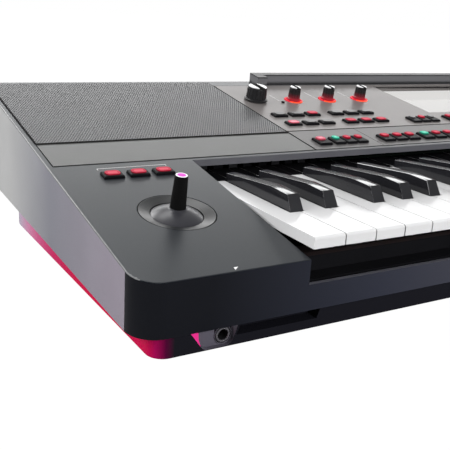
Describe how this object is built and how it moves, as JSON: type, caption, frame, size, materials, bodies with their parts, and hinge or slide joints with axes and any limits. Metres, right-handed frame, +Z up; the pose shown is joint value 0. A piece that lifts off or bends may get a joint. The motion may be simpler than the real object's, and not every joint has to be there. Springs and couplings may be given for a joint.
{
  "type": "arranger keyboard",
  "caption": "Arranger keyboard with a sloping deck, hinged piano keys, lit push buttons, knobs, joystick, display, speakers and rear sockets.",
  "frame": {"origin": "middle of the footprint on the surface that the feet stand on", "axes": "+X along the keys to the treble end, +Y to the back, +Z up"},
  "size_m": [1.008, 0.352, 0.1173],
  "materials": {
    "case_charcoal": "fine satin grain",
    "lower_case_lacquer": "gloss, red at the ends fading to black along the front",
    "foot_rubber": "matt",
    "steel": "plain",
    "panel_taupe": "fine satin grain",
    "strip_grey": "satin",
    "grille_metal": "satin, finely perforated",
    "speaker_dark": "matt",
    "display_glass": "clear",
    "display_lit": "lit white screen",
    "rail_grey": "satin",
    "circuit_board": "solder mask",
    "frame_black": "moulded",
    "felt": "felt",
    "joystick_black": "satin",
    "cap_lit": "lit cap",
    "knob_black": "ribbed",
    "light_red": "lit translucent",
    "socket_black": "moulded",
    "button_black": "matt",
    "key_ivory": "polished",
    "key_ebony": "polished"
  },
  "bodies": {
    "case": {"upper_case": "case_charcoal", "lower_case": "lower_case_lacquer", "rubber_feet": "foot_rubber", "case_screws": "steel", "main_panel": "panel_taupe", "lower_panel": "panel_taupe", "left_strip_panel": "strip_grey", "right_strip_panel": "strip_grey", "left_speaker_grille": "grille_metal", "right_speaker_grille": "grille_metal", "left_speaker": "speaker_dark", "right_speaker": "speaker_dark", "display_glass": "display_glass", "display_module": "display_lit", "music_rest_rail": "rail_grey", "main_board": "circuit_board", "panel_board": "circuit_board", "key_contact_board": "circuit_board", "key_frame": "frame_black", "key_pivot_rod": "steel", "key_stop_felts": "felt", "key_spring_comb": "steel", "joystick_bezel": "joystick_black", "joystick_base": "frame_black", "knob_light_rings": "light_red", "knob_potentiometers": "socket_black", "headphone_jack": "socket_black", "rear_sockets": "socket_black"},
    "key_c": {"key_c": "key_ivory"},
    "key_c_sharp": {"key_c_sharp": "key_ebony"},
    "key_d": {"key_d": "key_ivory"},
    "key_d_sharp": {"key_d_sharp": "key_ebony"},
    "key_e": {"key_e": "key_ivory"},
    "key_f": {"key_f": "key_ivory"},
    "key_f_sharp": {"key_f_sharp": "key_ebony"},
    "key_g": {"key_g": "key_ivory"},
    "key_g_sharp": {"key_g_sharp": "key_ebony"},
    "key_a": {"key_a": "key_ivory"},
    "key_a_sharp": {"key_a_sharp": "key_ebony"},
    "key_b": {"key_b": "key_ivory"},
    "upper_white_keys": {"upper_white_keys": "key_ivory"},
    "upper_black_keys": {"upper_black_keys": "key_ebony"},
    "effect_buttons": {"effect_buttons": "button_black"},
    "arranger_buttons": {"arranger_buttons": "button_black"},
    "voice_buttons": {"voice_buttons": "button_black"},
    "intro_buttons": {"intro_buttons": "button_black"},
    "variation_buttons": {"variation_buttons": "button_black"},
    "memory_buttons": {"memory_buttons": "button_black"},
    "menu_buttons": {"menu_buttons": "button_black"},
    "block_button_1": {"block_button_1": "button_black"},
    "block_button_2": {"block_button_2": "button_black"},
    "block_button_3": {"block_button_3": "button_black"},
    "volume_knob": {"volume_knob": "knob_black"},
    "control_knob_1": {"control_knob_1": "knob_black"},
    "control_knob_2": {"control_knob_2": "knob_black"},
    "control_knob_3": {"control_knob_3": "knob_black"},
    "joystick_gimbal": {"joystick_gimbal": "steel"},
    "joystick_lever": {"joystick_lever": "joystick_black", "joystick_cap": "cap_lit"},
    "power_button": {"power_button": "socket_black"}
  },
  "joints": [
    {"name": "key_c_press", "type": "hinge", "parent": "case", "child": "key_c", "pos_m": [0, 0.012, 0.06041], "axis": [1, 0, 0], "range_deg": [0, 3.07], "stiffness_Nm_per_rad": 0.5, "springref_deg": -14.32},
    {"name": "key_c_sharp_press", "type": "hinge", "parent": "case", "child": "key_c_sharp", "pos_m": [0, 0.012, 0.06041], "axis": [1, 0, 0], "range_deg": [0, 3.07], "stiffness_Nm_per_rad": 0.5, "springref_deg": -14.32},
    {"name": "key_d_press", "type": "hinge", "parent": "case", "child": "key_d", "pos_m": [0, 0.012, 0.06041], "axis": [1, 0, 0], "range_deg": [0, 3.07], "stiffness_Nm_per_rad": 0.5, "springref_deg": -14.32},
    {"name": "key_d_sharp_press", "type": "hinge", "parent": "case", "child": "key_d_sharp", "pos_m": [0, 0.012, 0.06041], "axis": [1, 0, 0], "range_deg": [0, 3.07], "stiffness_Nm_per_rad": 0.5, "springref_deg": -14.32},
    {"name": "key_e_press", "type": "hinge", "parent": "case", "child": "key_e", "pos_m": [0, 0.012, 0.06041], "axis": [1, 0, 0], "range_deg": [0, 3.07], "stiffness_Nm_per_rad": 0.5, "springref_deg": -14.32},
    {"name": "key_f_press", "type": "hinge", "parent": "case", "child": "key_f", "pos_m": [0, 0.012, 0.06041], "axis": [1, 0, 0], "range_deg": [0, 3.07], "stiffness_Nm_per_rad": 0.5, "springref_deg": -14.32},
    {"name": "key_f_sharp_press", "type": "hinge", "parent": "case", "child": "key_f_sharp", "pos_m": [0, 0.012, 0.06041], "axis": [1, 0, 0], "range_deg": [0, 3.07], "stiffness_Nm_per_rad": 0.5, "springref_deg": -14.32},
    {"name": "key_g_press", "type": "hinge", "parent": "case", "child": "key_g", "pos_m": [0, 0.012, 0.06041], "axis": [1, 0, 0], "range_deg": [0, 3.07], "stiffness_Nm_per_rad": 0.5, "springref_deg": -14.32},
    {"name": "key_g_sharp_press", "type": "hinge", "parent": "case", "child": "key_g_sharp", "pos_m": [0, 0.012, 0.06041], "axis": [1, 0, 0], "range_deg": [0, 3.07], "stiffness_Nm_per_rad": 0.5, "springref_deg": -14.32},
    {"name": "key_a_press", "type": "hinge", "parent": "case", "child": "key_a", "pos_m": [0, 0.012, 0.06041], "axis": [1, 0, 0], "range_deg": [0, 3.07], "stiffness_Nm_per_rad": 0.5, "springref_deg": -14.32},
    {"name": "key_a_sharp_press", "type": "hinge", "parent": "case", "child": "key_a_sharp", "pos_m": [0, 0.012, 0.06041], "axis": [1, 0, 0], "range_deg": [0, 3.07], "stiffness_Nm_per_rad": 0.5, "springref_deg": -14.32},
    {"name": "key_b_press", "type": "hinge", "parent": "case", "child": "key_b", "pos_m": [0, 0.012, 0.06041], "axis": [1, 0, 0], "range_deg": [0, 3.07], "stiffness_Nm_per_rad": 0.5, "springref_deg": -14.32},
    {"name": "upper_white_keys_press", "type": "hinge", "parent": "case", "child": "upper_white_keys", "pos_m": [0, 0.012, 0.06041], "axis": [1, 0, 0], "range_deg": [0, 3.07], "stiffness_Nm_per_rad": 14.5, "springref_deg": -14.32},
    {"name": "upper_black_keys_press", "type": "hinge", "parent": "case", "child": "upper_black_keys", "pos_m": [0, 0.012, 0.06041], "axis": [1, 0, 0], "range_deg": [0, 3.07], "stiffness_Nm_per_rad": 10, "springref_deg": -14.32},
    {"name": "effect_buttons_press", "type": "slide", "parent": "case", "child": "effect_buttons", "axis": [0, 0.159, -0.9873], "range_m": [0, 0.0012], "stiffness_N_per_m": 1800, "springref_m": -0.002},
    {"name": "arranger_buttons_press", "type": "slide", "parent": "case", "child": "arranger_buttons", "axis": [0, 0.159, -0.9873], "range_m": [0, 0.0012], "stiffness_N_per_m": 1800, "springref_m": -0.002},
    {"name": "voice_buttons_press", "type": "slide", "parent": "case", "child": "voice_buttons", "axis": [0, 0.159, -0.9873], "range_m": [0, 0.0012], "stiffness_N_per_m": 3600, "springref_m": -0.002},
    {"name": "intro_buttons_press", "type": "slide", "parent": "case", "child": "intro_buttons", "axis": [0, 0.159, -0.9873], "range_m": [0, 0.0012], "stiffness_N_per_m": 2400, "springref_m": -0.002},
    {"name": "variation_buttons_press", "type": "slide", "parent": "case", "child": "variation_buttons", "axis": [0, 0.159, -0.9873], "range_m": [0, 0.0012], "stiffness_N_per_m": 3600, "springref_m": -0.002},
    {"name": "memory_buttons_press", "type": "slide", "parent": "case", "child": "memory_buttons", "axis": [0, 0.159, -0.9873], "range_m": [0, 0.0012], "stiffness_N_per_m": 3600, "springref_m": -0.002},
    {"name": "menu_buttons_press", "type": "slide", "parent": "case", "child": "menu_buttons", "axis": [0, 0.159, -0.9873], "range_m": [0, 0.0012], "stiffness_N_per_m": 4500, "springref_m": -0.002},
    {"name": "block_button_1_press", "type": "slide", "parent": "case", "child": "block_button_1", "axis": [0, 0.159, -0.9873], "range_m": [0, 0.0012], "stiffness_N_per_m": 300, "springref_m": -0.002},
    {"name": "block_button_2_press", "type": "slide", "parent": "case", "child": "block_button_2", "axis": [0, 0.159, -0.9873], "range_m": [0, 0.0012], "stiffness_N_per_m": 300, "springref_m": -0.002},
    {"name": "block_button_3_press", "type": "slide", "parent": "case", "child": "block_button_3", "axis": [0, 0.159, -0.9873], "range_m": [0, 0.0012], "stiffness_N_per_m": 300, "springref_m": -0.002},
    {"name": "volume_knob_turn", "type": "hinge", "parent": "case", "child": "volume_knob", "pos_m": [-0.258, 0.111, 0.09771], "axis": [0, -0.159, 0.9873], "range_deg": [-150, 150]},
    {"name": "control_knob_1_turn", "type": "hinge", "parent": "case", "child": "control_knob_1", "pos_m": [-0.214, 0.109, 0.09738], "axis": [0, -0.159, 0.9873], "range_deg": [-150, 150]},
    {"name": "control_knob_2_turn", "type": "hinge", "parent": "case", "child": "control_knob_2", "pos_m": [-0.17115, 0.109, 0.09738], "axis": [0, -0.159, 0.9873], "range_deg": [-150, 150]},
    {"name": "control_knob_3_turn", "type": "hinge", "parent": "case", "child": "control_knob_3", "pos_m": [-0.1283, 0.109, 0.09738], "axis": [0, -0.159, 0.9873], "range_deg": [-150, 150]},
    {"name": "joystick_fore_aft", "type": "hinge", "parent": "case", "child": "joystick_gimbal", "pos_m": [-0.4461, -0.09872, 0.04622], "axis": [1, 0, 0], "range_deg": [-18, 18], "stiffness_Nm_per_rad": 0.3},
    {"name": "joystick_left_right", "type": "hinge", "parent": "joystick_gimbal", "child": "joystick_lever", "pos_m": [-0.4461, -0.09872, 0.04622], "axis": [0, 0.9873, 0.159], "range_deg": [-18, 18], "stiffness_Nm_per_rad": 0.3},
    {"name": "power_button_press", "type": "slide", "parent": "case", "child": "power_button", "axis": [0, -1, 0], "range_m": [0, 0.0025], "stiffness_N_per_m": 400, "springref_m": -0.002}
  ]
}
